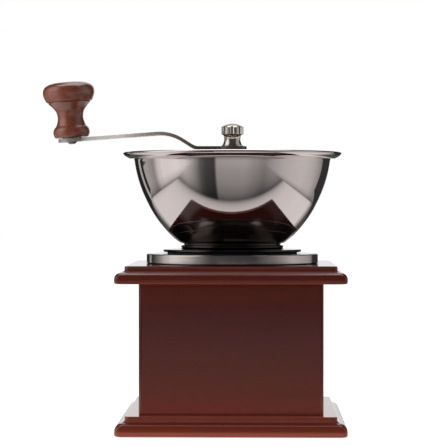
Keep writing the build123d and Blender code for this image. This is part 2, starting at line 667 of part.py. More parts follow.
flute = rod(FLUTE_R, head_low, Z_CAP_TOP + 1, CAP_R + FLUTE_R - FLUTE_DEPTH)
stud_hole = rod(STUD_R + FIT, Z_CAP - 1, Z_WASHER + STUD_LENGTH + LIFT)
cap_nut = turned_edges(cap_outline) - around(flute, CAP_FLUTES, 180 / CAP_FLUTES) - stud_hole

# Crank knob on its riveted axle, square to the sloping arm
knob_low = KNOB_WASHER + RIVET_FIT
knob_high = knob_low + KNOB_HEIGHT
foot_high = knob_low + KNOB_FOOT_HEIGHT
neck_high = knob_low + KNOB_NECK_HEIGHT
neck_rise = KNOB_NECK_HEIGHT - KNOB_FOOT_HEIGHT
groove_r = KNOB_R - 2.9
head_start = neck_high + 0.9
head_rise = knob_high - head_start
foot_edge = KNOB_FOOT_R - 1.1
crown_r = AXLE_HEAD_R + 0.5
knob_outline = (
    Line(at(0, knob_low), at(foot_edge, knob_low))
    + ThreePointArc(
        at(foot_edge, knob_low), at(KNOB_FOOT_R, knob_low + KNOB_FOOT_HEIGHT * 0.48), at(foot_edge, foot_high)
    )
    + Line(at(foot_edge, foot_high), at(foot_edge - 0.6, foot_high + 0.4))
    + Spline(
        at(foot_edge - 0.6, foot_high + 0.4),
        at(KNOB_WAIST_R + 0.2, foot_high + neck_rise * 0.27),
        at(KNOB_WAIST_R, foot_high + neck_rise * 0.48),
        at(KNOB_WAIST_R + 1.15, foot_high + neck_rise * 0.72),
        at(groove_r, neck_high),
    )
    + Line(at(groove_r, neck_high), at(groove_r - 0.1, neck_high + 0.6))
    + Line(at(groove_r - 0.1, neck_high + 0.6), at(groove_r + 1.0, head_start))
    + Spline(
        at(groove_r + 1.0, head_start),
        at(KNOB_R, head_start + head_rise * 0.43),
        at(KNOB_R - 1.0, head_start + head_rise * 0.78),
        at(KNOB_R - 5.2, head_start + head_rise * 0.965),
        at(crown_r, knob_high),
    )
    + Line(at(crown_r, knob_high), at(0, knob_high))
    + Line(at(0, knob_high), at(0, knob_low))
)
sink_low = knob_high - AXLE_HEAD - LIFT - LIFT
knob_bore = rod(AXLE_R + RIVET_FIT, 0, knob_high + 1) + rod(AXLE_HEAD_R + LIFT, sink_low, knob_high + 1)
crank_knob = knob_frame * (turned_edges(knob_outline) - knob_bore)
knob_washer = knob_frame * tube(KNOB_WASHER_R, AXLE_R + FIT, 0, KNOB_WASHER)
axle_head = sink_low + LIFT
rivet_seat = -ARM_THICK
knob_axle = knob_frame * turned(
    [
        (0, rivet_seat - RIVET_HEIGHT),
        (RIVET_R * 0.6, rivet_seat - RIVET_HEIGHT * 0.9),
        (RIVET_R * 0.92, rivet_seat - RIVET_HEIGHT * 0.45),
        (RIVET_R, rivet_seat),
        (AXLE_R, rivet_seat),
        (AXLE_R, axle_head),
        (AXLE_HEAD_R, axle_head),
        (AXLE_HEAD_R * 0.92, axle_head + AXLE_HEAD * 0.5),
        (AXLE_HEAD_R * 0.55, axle_head + AXLE_HEAD * 0.9),
        (0, axle_head + AXLE_HEAD),
    ]
)

parts = {
    "base_felt": base_felt,
    "base_plate": base_plate,
    "base_screws": base_screws,
    "rear_panel": rear_panel,
    "left_panel": left_panel,
    "right_panel": right_panel,
    "front_rail": front_rail,
    "top_plate": top_plate,
    "top_dowels": top_dowels,
    "burr_housing": burr_housing,
    "housing_screws": housing_screws,
    "outer_burr": outer_burr,
    "burr_retainer": burr_retainer,
    "lower_bush": lower_bush,
    "collar_ring": collar_ring,
    "hopper_gasket": hopper_gasket,
    "hopper_foot": hopper_foot,
    "hopper_bowl": hopper_bowl,
    "hopper_screws": hopper_screws,
    "shaft_bridge": shaft_bridge,
    "bridge_screws": bridge_screws,
    "upper_bush": upper_bush,
    "drive_shaft": drive_shaft,
    "thrust_collar": thrust_collar,
    "crank_arm": crank_arm,
    "arm_washer": arm_washer,
    "cap_nut": cap_nut,
    "knob_axle": knob_axle,
    "knob_washer": knob_washer,
    "crank_knob": crank_knob,
    "burr_spring": burr_spring,
    "inner_burr": inner_burr,
    "adjusting_nut": adjusting_nut,
    "drawer_front": drawer_front,
    "drawer_left_side": drawer_left_side,
    "drawer_right_side": drawer_right_side,
    "drawer_back": drawer_back,
    "drawer_bottom": drawer_bottom,
    "drawer_knob": drawer_knob,
    "drawer_knob_screw": drawer_knob_screw,
}

os.makedirs("parts", exist_ok=True)
for name, shape in parts.items():
    pieces = shape if isinstance(shape, list) else [shape]
    node = Compound([solid for piece in pieces for solid in piece.solids()])
    box = node.bounding_box()
    print(f"{name}: {len(node.solids())} solid(s), z {box.min.Z:.2f} to {box.max.Z:.2f}")
    export_step(node, f"parts/{name}.step")

coil_points = [tuple(coil @ (i / 360)) for i in range(361)]
one_turn = int(360 / SPRING_TURNS)
pairs = [(i, j) for i in range(361) for j in range(i + one_turn // 2, 361)]
spring_gap = min(dist(coil_points[i], coil_points[j]) for i, j in pairs) - 2 * SPRING_WIRE_R
print(f"least gap of the spring to itself: {spring_gap:.2f} mm")
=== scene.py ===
import bpy
from math import cos, radians, sin, tan
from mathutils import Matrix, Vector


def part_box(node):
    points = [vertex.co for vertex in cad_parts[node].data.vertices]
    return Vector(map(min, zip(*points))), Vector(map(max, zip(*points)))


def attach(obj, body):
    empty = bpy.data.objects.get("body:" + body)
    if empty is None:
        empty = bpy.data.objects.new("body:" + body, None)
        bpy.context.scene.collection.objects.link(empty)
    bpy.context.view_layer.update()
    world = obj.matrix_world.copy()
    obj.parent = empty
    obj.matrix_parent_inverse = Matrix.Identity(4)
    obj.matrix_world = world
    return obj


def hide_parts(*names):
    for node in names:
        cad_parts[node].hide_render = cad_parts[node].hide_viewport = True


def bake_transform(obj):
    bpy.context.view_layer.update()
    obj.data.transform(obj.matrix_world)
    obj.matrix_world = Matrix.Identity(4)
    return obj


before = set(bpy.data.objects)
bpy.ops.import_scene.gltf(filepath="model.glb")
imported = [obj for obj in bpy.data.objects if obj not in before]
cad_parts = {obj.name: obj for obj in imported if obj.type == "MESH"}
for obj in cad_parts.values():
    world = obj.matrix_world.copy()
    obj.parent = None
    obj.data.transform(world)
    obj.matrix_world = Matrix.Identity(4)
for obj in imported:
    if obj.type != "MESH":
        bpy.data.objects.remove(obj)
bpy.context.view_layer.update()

# Camera: a long lens looks at the plain back of the mill from just below the hopper's rim, a little to
# the right of the middle. Colours are shown as they are written.
scene = bpy.context.scene
scene.view_settings.view_transform = "Standard"
camera_place = (0.0160, -1.15, 0.1300)
camera_tilt, camera_turn = radians(89.438), radians(1.405)
bpy.ops.object.select_all(action="DESELECT")
bpy.ops.object.camera_add(location=camera_place, rotation=(camera_tilt, 0, camera_turn))
scene.camera = bpy.context.active_object
scene.camera.data.lens = 157.8
scene.camera.data.sensor_width = 36.0
scene.camera.data.clip_start = 0.05


# Room and table: the camera sees both as plain white. In polished metal the table is a white sheet under
# the mill, which ends in front and at both sides and is dim in the far corners but not behind the mill,
# and beyond it is a floor that changes with its bearing.
def feed(tree, node, inputs):
    """Links or sets a node's inputs, each by its name or number."""
    for name, value in inputs.items():
        if isinstance(value, bpy.types.NodeSocket):
            tree.links.new(value, node.inputs[name])
        else:
            node.inputs[name].default_value = value


def add_node(tree, kind, inputs=None, **settings):
    """Adds a shader node with its settings, and links or sets its inputs."""
    made = tree.nodes.new(kind)
    for name, value in settings.items():
        setattr(made, name, value)
    feed(tree, made, inputs or {})
    return made


def calculate(tree, operation, *values):
    """Result of one sum on numbers and sockets."""
    return add_node(tree, "ShaderNodeMath", dict(enumerate(values)), operation=operation).outputs[0]


def rescale(tree, value, low=0.0, high=1.0, to_low=0.0, to_high=1.0):
    """Value brought from one range to another, and kept within it."""
    inputs = {"Value": value, "From Min": low, "From Max": high, "To Min": to_low, "To Max": to_high}
    return add_node(tree, "ShaderNodeMapRange", inputs).outputs[0]


def noise(tree, place, scale, detail=2.0, **more):
    """Noise pattern from 0 to 1, with its scale in patches to the metre."""
    inputs = {"Vector": place, "Scale": scale, "Detail": detail, **more}
    return add_node(tree, "ShaderNodeTexNoise", inputs).outputs["Fac"]


def add_ramp(tree, factor, stops):
    """Colour ramp through (place, grey or colour) stops."""
    made = add_node(tree, "ShaderNodeValToRGB", {"Fac": factor})
    points = made.color_ramp.elements
    while len(points) < len(stops):
        points.new(0.5)
    for point, (place, colour) in zip(points, stops):
        point.position = place
        point.color = (*colour, 1) if isinstance(colour, tuple) else (colour, colour, colour, 1)
    return made.outputs["Color"]


def bearing_ramp(tree, place, stops):
    """Grey by the bearing from the mill, through (degrees to the right of the camera, grey) stops."""
    bearing = add_node(tree, "ShaderNodeTexGradient", {"Vector": place}, gradient_type="RADIAL")
    turns = sorted((((degrees + 90) % 360) / 360, grey) for degrees, grey in stops)
    return add_ramp(tree, bearing.outputs["Fac"], turns)


def new_finish(name):
    """Material with a Principled shader, and the piece's own coordinates to place its pattern."""
    finish = bpy.data.materials.new(name)
    finish.use_nodes = True
    tree = finish.node_tree
    return finish, tree, tree.nodes["Principled BSDF"], add_node(tree, "ShaderNodeTexCoord").outputs["Object"]


room = bpy.data.worlds.new("white_room")
scene.world = room
room.use_nodes = True
tree = room.node_tree
path = add_node(tree, "ShaderNodeLightPath").outputs
seen = calculate(tree, "MAXIMUM", path["Is Camera Ray"], path["Is Glossy Ray"])
seen = calculate(tree, "MAXIMUM", seen, path["Is Transmission Ray"])
feed(tree, tree.nodes["Background"], {"Color": (1, 1, 1, 1), "Strength": rescale(tree, seen, to_low=0.2)})

bpy.ops.mesh.primitive_plane_add(size=12, location=(0, 0, 0))
table = bpy.context.active_object
table.name = "white_table"
table_paint, tree, shader, place = new_finish("table_paint")
spot = add_node(tree, "ShaderNodeSeparateXYZ", {0: place}).outputs
path = add_node(tree, "ShaderNodeLightPath").outputs

sheet_front, sheet_left, sheet_right = -0.14, -0.32833, 0.29125
left_slope, right_slope = 3.0, 8.0
past_front = calculate(tree, "SUBTRACT", sheet_front, spot["Y"])
past_left = calculate(tree, "MULTIPLY_ADD", spot["X"], -left_slope, left_slope * sheet_left)
past_right = calculate(tree, "MULTIPLY_ADD", spot["X"], right_slope, -right_slope * sheet_right)
past_side = calculate(tree, "MAXIMUM", past_left, past_right)
away = rescale(tree, calculate(tree, "MAXIMUM", past_side, past_front), low=-0.16, high=0.40)
sheet_stops = [(0.0, 0.9), (0.179, 0.82), (0.232, 0.72), (0.264, 0.6), (0.28, 0.48), (0.31, 0.0)]
sheet = add_ramp(tree, away, sheet_stops)

reach = add_node(tree, "ShaderNodeVectorMath", {0: place}, operation="LENGTH").outputs["Value"]
paper = rescale(tree, reach, low=0.3, high=0.9, to_low=0.8)
white = calculate(tree, "MULTIPLY", path["Is Camera Ray"], paper)
# Inside the sheet the table glows for every ray, a painted light that lights the mill from below like light
# bounced off the table.
lit = calculate(tree, "MULTIPLY", sheet, 0.5)
speckled = add_ramp(tree, noise(tree, place, 40.0), [(0.3, 0.86), (0.7, 0.9)])
feed(tree, shader, {"Base Color": speckled, "Roughness": 0.7, "Specular IOR Level": 0.0})
glow = calculate(tree, "MAXIMUM", lit, white)
feed(tree, shader, {"Emission Color": (1, 1, 1, 1), "Emission Strength": glow})

floor_stops = [(-120, 0.5), (-104, 0.36), (-95, 0.85), (-78, 0.97), (-66, 1.03), (-55, 0.92), (-47, 0.62)]
floor_stops += [(-36, 0.16), (-30, 0.09), (-19, 0.06), (-17, 0.47), (15, 0.5), (26, 0.41), (38, 0.32)]
floor_stops += [(49, 0.48), (61, 0.6), (75, 0.68), (90, 0.72), (110, 0.62), (128, 0.35)]
fade_stops = [(0.28, 0.0), (0.308, 0.22), (0.34, 0.37), (0.375, 0.5), (0.465, 0.68), (0.581, 0.79)]
fade_stops += [(0.768, 0.89), (1.0, 1.0)]
floor = bearing_ramp(tree, place, floor_stops)
fade = add_ramp(tree, away, fade_stops)
off_corners = bearing_ramp(tree, place, [(-145, 0.1), (-129, 1.0), (129, 1.0), (145, 0.1)])
across = calculate(tree, "ABSOLUTE", spot["X"])
behind = rescale(tree, across, low=0.12, high=0.15, to_low=1.0, to_high=0.0)
near = calculate(tree, "MULTIPLY", sheet, calculate(tree, "MAXIMUM", off_corners, behind))
strength = calculate(tree, "MULTIPLY_ADD", floor, fade, near)
mirrored = add_node(tree, "ShaderNodeEmission", {"Strength": strength})
both = {0: path["Is Glossy Ray"], 1: shader.outputs[0], 2: mirrored.outputs[0]}
faces = add_node(tree, "ShaderNodeMixShader", both)
feed(tree, tree.nodes["Material Output"], {"Surface": faces.outputs[0]})
table.data.materials.append(table_paint)

# Softboxes: a large one on the left, a weaker one on the right and one overhead, all aimed at the
# mill's middle. Metal doesn't mirror them, because the cards of the next section stand for them.
mill_middle = 0.11
for name, place, size, power in (
    ("left_softbox", (-1.15, -0.60, 0.42), 0.9, 17.0),
    ("right_softbox", (1.30, -0.25, 0.40), 0.8, 5.0),
    ("top_softbox", (-0.1, 0.25, 1.25), 0.9, 3.0),
):
    bpy.ops.object.light_add(type="AREA", location=place)
    softbox = bpy.context.active_object
    softbox.name = name
    softbox.data.shape = "SQUARE"
    softbox.data.size = size
    softbox.data.energy = power
    softbox.visible_glossy = False
    aim = softbox.location.copy()
    aim.z -= mill_middle
    softbox.rotation_euler = aim.to_track_quat("Z", "Y").to_euler()


# Reflection cards: only polished metal sees them. A round wall and a ceiling stand for the dim room, two
# black flags for its dark corners behind the mill, a low pale strip before the left flag for the light
# beside it, and an overhead card for the softbox above.
def reflection_paint(name, stops):
    """Plain grey that changes with the bearing from the mill, in degrees to the right of the camera."""
    paint = bpy.data.materials.new(name)
    paint.use_nodes = True
    tree = paint.node_tree
    tree.nodes.clear()
    place = add_node(tree, "ShaderNodeTexCoord").outputs["Object"]
    light = add_node(tree, "ShaderNodeEmission", {"Color": bearing_ramp(tree, place, stops)})
    add_node(tree, "ShaderNodeOutputMaterial", {"Surface": light.outputs[0]})
    return paint


def show_in_metal_only(card, name, paint):
    """Marks a stage card that neither lights the mill nor shows, except in reflections."""
    card.name = name
    card.data.materials.append(paint)
    card.visible_camera = card.visible_diffuse = card.visible_transmission = card.visible_shadow = False


def reflection_card(name, paint, low, high, turn=0.0):
    """Flat card from corner to corner in metres that only metal sees. One with no depth stands up."""
    size = [b - a for a, b in zip(low, high)]
    middle = [(a + b) / 2 for a, b in zip(low, high)]
    upright = size[1] == 0
    bpy.ops.mesh.primitive_plane_add(size=1, location=middle, rotation=(radians(90) if upright else 0, 0, 0))
    card = bpy.context.active_object
    card.scale = (size[0], size[2] if upright else size[1], 1)
    bpy.ops.object.transform_apply(location=True, rotation=True, scale=True)
    card.rotation_euler = (0, 0, radians(turn))
    bpy.ops.object.transform_apply(rotation=True)
    show_in_metal_only(card, name, paint)


flag_black = reflection_paint("flag_black", [(-141, 0.02), (143, 0.04)])
strip_white = reflection_paint("strip_white", [(-141, 0.55), (143, 0.55)])
reflection_card("left_strip", strip_white, (-0.025, -0.46, 0.0), (0.025, -0.46, 0.16), turn=-134)
reflection_card("left_flag", flag_black, (-0.14, -0.47, 0.0), (0.14, -0.47, 0.9), turn=-141)
reflection_card("right_flag", flag_black, (-0.13, -0.47, 0.0), (0.13, -0.47, 0.9), turn=143)
wall_stops = [(-162, 1.1), (-155, 0.05), (-128, 0.04), (-110, 0.32), (-98, 0.75), (-77, 1.0), (-62, 0.75)]
wall_stops += [(-45, 0.3), (-28, 0.1), (10, 0.06), (30, 0.04), (36, 0.1), (58, 0.25), (85, 0.64)]
wall_stops += [(120, 0.48), (142, 0.05), (155, 0.05), (162, 1.1)]
room_stops = [(-162, 1.0), (-156, 0.07), (-112, 0.07), (-96, 1.4), (-58, 1.4), (-42, 0.07)]
room_stops += [(50, 0.07), (64, 0.45), (100, 0.45), (116, 0.07), (156, 0.07), (162, 1.0)]
wall_r, wall_split, ceiling_height, overhead_height = 1.3, 0.42, 1.7, 1.3
for name, paint, low, high in (
    ("low_wall", reflection_paint("wall_grey", wall_stops), 0.0, wall_split),
    ("high_wall", reflection_paint("room_grey", room_stops), wall_split, ceiling_height),
):
    middle = (0, 0, (low + high) / 2)
    bpy.ops.mesh.primitive_cylinder_add(
        vertices=96, radius=wall_r, depth=high - low, end_fill_type="NOTHING", location=middle
    )
    bpy.ops.object.transform_apply(location=True)
    show_in_metal_only(bpy.context.active_object, name, paint)
ceiling_grey = reflection_paint("ceiling_grey", [(0, 0.07), (180, 0.08)])
reflection_card("ceiling", ceiling_grey, (-wall_r, -wall_r, ceiling_height), (wall_r, wall_r, ceiling_height))
overhead_white = reflection_paint("overhead_white", [(0, 2.5), (180, 2.6)])
reflection_card("overhead", overhead_white, (-0.7, -0.25, overhead_height), (0.6, 0.9, overhead_height))


# Felt pad: a square of pressed wool felt, glued into a shallow recess under the base so that the
# mill neither slides nor scratches the table.
def dress(finish, *nodes):
    """Gives CAD nodes a finish in place of their plain one."""
    for name in nodes:
        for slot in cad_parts[name].material_slots:
            slot.material = finish


def rough_surface(tree, shader, height, strength, depth):
    """Bump from a height pattern, with its depth in metres."""
    bump = add_node(tree, "ShaderNodeBump", {"Height": height, "Strength": strength, "Distance": depth})
    feed(tree, shader, {"Normal": bump.outputs["Normal"]})


felt, tree, shader, place = new_finish("green_felt")
fibres = noise(tree, place, 900.0, detail=6.0, Distortion=2.0)
tufts = calculate(tree, "MULTIPLY", fibres, noise(tree, place, 60.0))
colour = add_ramp(tree, tufts, [(0.12, (0.010, 0.022, 0.014)), (0.45, (0.045, 0.085, 0.055))])
feed(tree, shader, {"Base Color": colour, "Roughness": 1.0, "Specular IOR Level": 0.1, "Sheen Weight": 0.4})
rough_surface(tree, shader, fibres, strength=0.8, depth=0.0004)
dress(felt, "base_felt")


# Base plate: a solid board with an ovolo, a cove and a step run along all four edges, stained
# mahogany red-brown and lacquered. Painted light and shade lie in its stain by height, and its underside is
# sunk for the felt.
def wood_grain_group():
    """Shader group for grain that runs along Z: a tone, dark pores, and a height for bump."""
    group = bpy.data.node_groups.new("wood_grain", "ShaderNodeTree")
    group.interface.new_socket("Vector", in_out="INPUT", socket_type="NodeSocketVector")
    group.interface.new_socket("Width", in_out="INPUT", socket_type="NodeSocketFloat")
    for name in ("Tone", "Pores", "Height"):
        group.interface.new_socket(name, in_out="OUTPUT", socket_type="NodeSocketFloat")
    start = group.nodes.new("NodeGroupInput").outputs
    stretch = {"Vector": start["Vector"], "Scale": (1.0, 1.0, 0.05)}
    along = add_node(group, "ShaderNodeMapping", stretch).outputs[0]
    wander = add_node(group, "ShaderNodeTexNoise", {"Vector": along, "Scale": 14.0, "Detail": 2.0})
    sideways = {0: wander.outputs["Color"], 1: (0.03, 0.03, 0.0)}
    shift = add_node(group, "ShaderNodeVectorMath", sideways, operation="MULTIPLY").outputs[0]
    bent = add_node(group, "ShaderNodeVectorMath", {0: along, 1: shift}, operation="ADD").outputs[0]
    streaks = noise(group, bent, start["Width"], detail=5.0, Roughness=0.6)
    bands = noise(group, bent, 45.0)
    tone = add_node(group, "ShaderNodeMix", {"Factor": 0.25, "A": streaks, "B": bands}).outputs[0]
    pores = rescale(group, noise(group, bent, 1700.0, detail=1.0), low=0.60, high=0.75, to_high=0.3)
    height = calculate(group, "SUBTRACT", tone, pores)
    feed(group, group.nodes.new("NodeGroupOutput"), {"Tone": tone, "Pores": pores, "Height": height})
    return group


wood_grain = wood_grain_group()


def mix_colours(tree, factor, first, second, blend="MIX"):
    """First colour where the factor is 0, and the blend of both where it is 1."""
    inputs = {0: factor, 6: first, 7: second}
    return add_node(tree, "ShaderNodeMix", inputs, data_type="RGBA", blend_type=blend).outputs[2]


def shaded(tree, place, colour, tones):
    """Colour multiplied by a ramp over the height, through (height in mm, tone) stops."""
    low, high = tones[0][0], tones[-1][0]
    height = add_node(tree, "ShaderNodeSeparateXYZ", {0: place}).outputs["Z"]
    height = rescale(tree, height, low / 1000, high / 1000)
    shade = add_ramp(tree, height, [((z - low) / (high - low), tone) for z, tone in tones])
    return mix_colours(tree, 1.0, colour, shade, "MULTIPLY")


def stained_wood(name, turn, stain, centre=(0, 0, 0), tones=((0, 1.0), (1000, 1.0)), gloss=1.45, haze=0.12):
    """Lacquered wood. Turn brings the grain's direction to Z; tones paint light and shade into the stain by
    height.
    """
    finish, tree, shader, place = new_finish(name)
    dark, light = stain
    axes = {"Vector": place, "Location": [a / 1000 for a in centre], "Rotation": [radians(a) for a in turn]}
    turned = add_node(tree, "ShaderNodeMapping", axes, vector_type="TEXTURE").outputs[0]
    grain = add_node(tree, "ShaderNodeGroup", {0: turned, 1: 260.0}, node_tree=wood_grain).outputs
    colour = add_ramp(tree, grain["Tone"], [(0.32, dark), (0.68, light)])
    colour = mix_colours(tree, grain["Pores"], colour, (*[c * 0.45 for c in dark], 1))
    open_grain = rescale(tree, grain["Tone"], to_low=0.36, to_high=0.48)
    feed(tree, shader, {"Base Color": shaded(tree, place, colour, tones), "Roughness": open_grain})
    lacquer = {"Coat Weight": 1.0, "Coat IOR": gloss, "Coat Roughness": haze}
    feed(tree, shader, {"Specular IOR Level": 0.0, **lacquer})
    rough_surface(tree, shader, grain["Height"], strength=0.05, depth=0.0002)
    return finish


mahogany = (0.232, 0.040, 0.020), (0.259, 0.047, 0.025)
# The tones by height, in mm, paint light and shade into the stain: the base plate paler than the case and
# palest at its foot as painted bounce light, a painted highlight along the case's foot, the case paler
# towards the bottom as painted bounce light, a painted pale line where the top plate's shadow falls on the
# case, painted highlights on the top plate's lower edge, ovolo and step, and its top face darkened as painted
# shade under the hopper.
base_tones = [(0, (1.0, 1.0, 0.9)), (2.2, (1.0, 1.0, 0.9)), (4.2, (0.55, 0.5, 0.5)), (7.5, (0.45, 0.4, 0.42))]
base_tones += [(9.5, (0.62, 0.62, 0.7)), (11.2, (0.62, 0.62, 0.7))]
case_tones = [(11.4, (1.5, 2.6, 3.8)), (12.1, (1.1, 1.4, 1.8)), (13.2, (0.64, 0.6, 0.66))]
case_tones += [(22, (0.43, 0.4, 0.45)), (39, (0.31, 0.28, 0.33)), (55, (0.25, 0.22, 0.3))]
case_tones += [(64, (0.23, 0.2, 0.29)), (72, (0.25, 0.21, 0.3)), (80.5, (0.39, 0.33, 0.36))]
case_tones += [(84.1, (0.43, 0.38, 0.41)), (84.7, (1.0, 1.0, 1.0))]
top_tones = [(85.7, (0.8, 0.74, 0.7)), (86.4, (0.42, 0.36, 0.38)), (88, (0.32, 0.26, 0.29))]
top_tones += [(90.8, (0.32, 0.26, 0.29)), (91.4, (0.85, 2.2, 3.9)), (92.1, (0.85, 2.2, 3.9))]
top_tones += [(92.6, (0.3, 0.27, 0.27)), (93.6, (0.38, 0.35, 0.35)), (94.8, (0.5, 0.8, 1.2))]
top_tones += [(95.4, (0.2, 0.17, 0.2))]
painted_light_and_shade = base_tones + case_tones + top_tones
mahogany_across = stained_wood("mahogany_across", (0, 90, 0), mahogany, tones=painted_light_and_shade)


def arc_steps(middle, radius, first, last, count):
    """Steps along an arc about a middle in mm, from one bearing in degrees to another."""
    bearings = [radians(first + (last - first) * i / count) for i in range(count + 1)]
    return [(middle[0] + radius * cos(a), middle[1] + radius * sin(a)) for a in bearings]


def raise_outline(steps):
    """Extrudes the selected rim through (radius, height) steps in mm, scaling it about the Z axis."""
    radius, height = steps[0]
    for next_radius, next_height in steps[1:]:
        rise = (next_height - height) / 1000
        bpy.ops.mesh.extrude_edges_move(TRANSFORM_OT_translate={"value": (0, 0, rise)})
        spread = next_radius / radius
        bpy.ops.transform.resize(value=(spread, spread, 1), center_override=(0, 0, 0))
        radius, height = next_radius, next_height


def finish_mesh(piece, ease=0.0, segments=2):
    """Turns the faces outwards, eases sharp edges by a width in mm, and smooths rounds but not flats."""
    bpy.ops.object.mode_set(mode="EDIT")
    bpy.ops.mesh.select_all(action="SELECT")
    bpy.ops.mesh.remove_doubles(threshold=1e-6)
    bpy.ops.mesh.normals_make_consistent(inside=False)
    bpy.ops.object.mode_set(mode="OBJECT")
    if ease:
        eased = piece.modifiers.new("eased", "BEVEL")
        eased.width = ease / 1000
        eased.segments = segments
        eased.angle_limit = radians(50)
        bpy.ops.object.modifier_apply(modifier="eased")
    bpy.ops.object.shade_smooth_by_angle(angle=radians(40))
    flats = piece.modifiers.new("flats", "WEIGHTED_NORMAL")
    flats.keep_sharp = True
    bpy.ops.object.modifier_apply(modifier="flats")


low_round, corner_round = 1.2, 3.0
bead_face, bead_inset = 2.8, 2.8
cove_drop, cove_r, cove_first, cove_last = 3.7, 4.7, 5.7, 42.3
step_inset, step_drop, step_round = 5.5, 2.4, 0.6


def moulded_plate(name, node):
    """Square plate in place of a CAD node, built up from its underside through the moulding's outline."""
    low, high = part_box(node)
    half, thick = high.x * 1000, (high.z - low.z) * 1000
    outline = arc_steps((half - low_round, low_round), low_round, -90, 0, 3) + [(half, bead_face)]
    ovolo_rise = thick - cove_drop - bead_face
    ovolo_r = (bead_inset**2 + ovolo_rise**2) / (2 * bead_inset)
    for i in range(1, 9):
        rise = ovolo_rise * sin(radians(90) * i / 8)
        outline.append((half - ovolo_r + (ovolo_r**2 - rise**2) ** 0.5, bead_face + rise))
    cove_side = half - bead_inset + cove_r * sin(radians(cove_first))
    cove_height = thick - cove_drop + cove_r * cos(radians(cove_first))
    outline += arc_steps((cove_side, cove_height), cove_r, -90 - cove_first, -90 - cove_last, 4)[1:]
    step = half - step_inset
    outline += [(step, thick - step_drop)]
    outline += arc_steps((step - step_round, thick - step_round), step_round, 0, 90, 2)
    bpy.ops.object.select_all(action="DESELECT")
    bpy.ops.mesh.primitive_plane_add(size=2 * outline[0][0] / 1000, location=(0, 0, low.z))
    plate = bpy.context.active_object
    plate.name = name
    bpy.ops.object.transform_apply(location=True)
    bpy.ops.object.mode_set(mode="EDIT")
    bpy.ops.mesh.bevel(offset=corner_round / 1000, segments=5, affect="VERTICES")
    bpy.ops.mesh.select_mode(type="EDGE")
    bpy.ops.mesh.select_all(action="SELECT")
    bpy.ops.mesh.delete(type="ONLY_FACE")
    bpy.ops.mesh.select_all(action="SELECT")
    raise_outline(outline)
    bpy.ops.mesh.select_all(action="DESELECT")
    bpy.ops.mesh.select_non_manifold()
    bpy.ops.mesh.fill_holes(sides=0)
    bpy.ops.object.mode_set(mode="OBJECT")
    return plate


def select_parts(piece, parts, wanted):
    """Selects the faces or edges of a piece whose corners in mm all pass a test, and enters edit mode."""
    bpy.ops.object.mode_set(mode="EDIT")
    bpy.ops.mesh.select_mode(type="FACE" if parts == "polygons" else "EDGE")
    bpy.ops.mesh.select_all(action="DESELECT")
    bpy.ops.object.mode_set(mode="OBJECT")
    points = piece.data.vertices
    for part in getattr(piece.data, parts):
        part.select = all(wanted(points[i].co * 1000) for i in part.vertices)
    bpy.ops.object.mode_set(mode="EDIT")


def fit(piece, finish, body, node):
    """Gives a finished piece its material and puts it on its body in place of its CAD node."""
    piece.data.materials.append(finish)
    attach(piece, body)
    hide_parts(node)


recess_gap, recess_depth = 0.3, 1.0
plate_low, plate_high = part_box("base_plate")
recess_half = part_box("base_felt")[1].x * 1000 + recess_gap
recess_share = recess_half / (plate_high.x * 1000 - low_round)
moulded_base = moulded_plate("moulded_base", "base_plate")
select_parts(moulded_base, "polygons", lambda p: p.z < plate_low.z * 1000 + 0.01)
bpy.ops.mesh.extrude_region_move(TRANSFORM_OT_translate={"value": (0, 0, 0)})
bpy.ops.transform.resize(value=(recess_share, recess_share, 1), center_override=(0, 0, 0))
bpy.ops.mesh.extrude_region_move(TRANSFORM_OT_translate={"value": (0, 0, recess_depth / 1000)})
finish_mesh(moulded_base)
fit(moulded_base, mahogany_across, "case", "base_plate")


# Screws: countersunk wood screws hold the base to the side panels and the burr housing to the top
# plate, pan heads clamp the hopper and the bridge, and one holds the drawer's pull. All are zinc plated.
def mottled_finish(name, dark, light, scale, detail, smooth, dull, bump=0.0, metal=0.0):
    """Finish that wanders between two colours and two roughnesses, with a slight bump if it has one."""
    finish, tree, shader, place = new_finish(name)
    blotches = noise(tree, place, scale, detail)
    colour = add_ramp(tree, blotches, [(0.3, dark), (0.7, light)])
    wear = rescale(tree, blotches, to_low=smooth, to_high=dull)
    feed(tree, shader, {"Base Color": colour, "Roughness": wear, "Metallic": metal})
    if bump:
        rough_surface(tree, shader, blotches, strength=bump, depth=0.0001)
    return finish


dull_zinc, bright_zinc = (0.50, 0.49, 0.46), (0.66, 0.65, 0.63)
plated = mottled_finish(
    "zinc_plate", dull_zinc, bright_zinc, 350.0, detail=4.0, smooth=0.22, dull=0.42, bump=0.1, metal=1.0
)
dress(plated, "base_screws", "housing_screws", "hopper_screws", "bridge_screws", "drawer_knob_screw")


# Case: a full back, two sides butted against it and a rail over the drawer, all stained boards, glued and
# screwed together. The back's outer face and the sides' front corners are rounded over, and the rest of
# their edges just eased.
def board(name, node, rounded=None, rounding=0.0):
    """Board in place of a CAD node, with the edges that pass a test rounded by mm and the rest eased."""
    low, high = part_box(node)
    bpy.ops.object.select_all(action="DESELECT")
    bpy.ops.mesh.primitive_cube_add(size=1, location=(low + high) / 2, scale=high - low)
    made = bpy.context.active_object
    made.name = name
    bpy.ops.object.transform_apply(location=True, rotation=True, scale=True)
    if rounded:
        select_parts(made, "edges", rounded)
        bpy.ops.mesh.bevel(offset=rounding / 1000, segments=5, affect="EDGES")
        bpy.ops.object.mode_set(mode="OBJECT")
    finish_mesh(made, ease=0.3)
    return made


# The side boards carry the same painted light and shade by height.
mahogany_deep = stained_wood("mahogany_deep", (90, 0, 0), mahogany, tones=painted_light_and_shade)
case_round = 2.0
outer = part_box("rear_panel")[1].x * 1000 - 0.1
for name, finish, node, rounded in (
    ("back_board", mahogany_across, "rear_panel", lambda p: p.y < -outer),
    ("left_board", mahogany_deep, "left_panel", lambda p: p.y > outer and p.x < -outer),
    ("right_board", mahogany_deep, "right_panel", lambda p: p.y > outer and p.x > outer),
    ("drawer_rail", mahogany_across, "front_rail", None),
):
    fit(board(name, node, rounded, case_round), finish, "case", node)

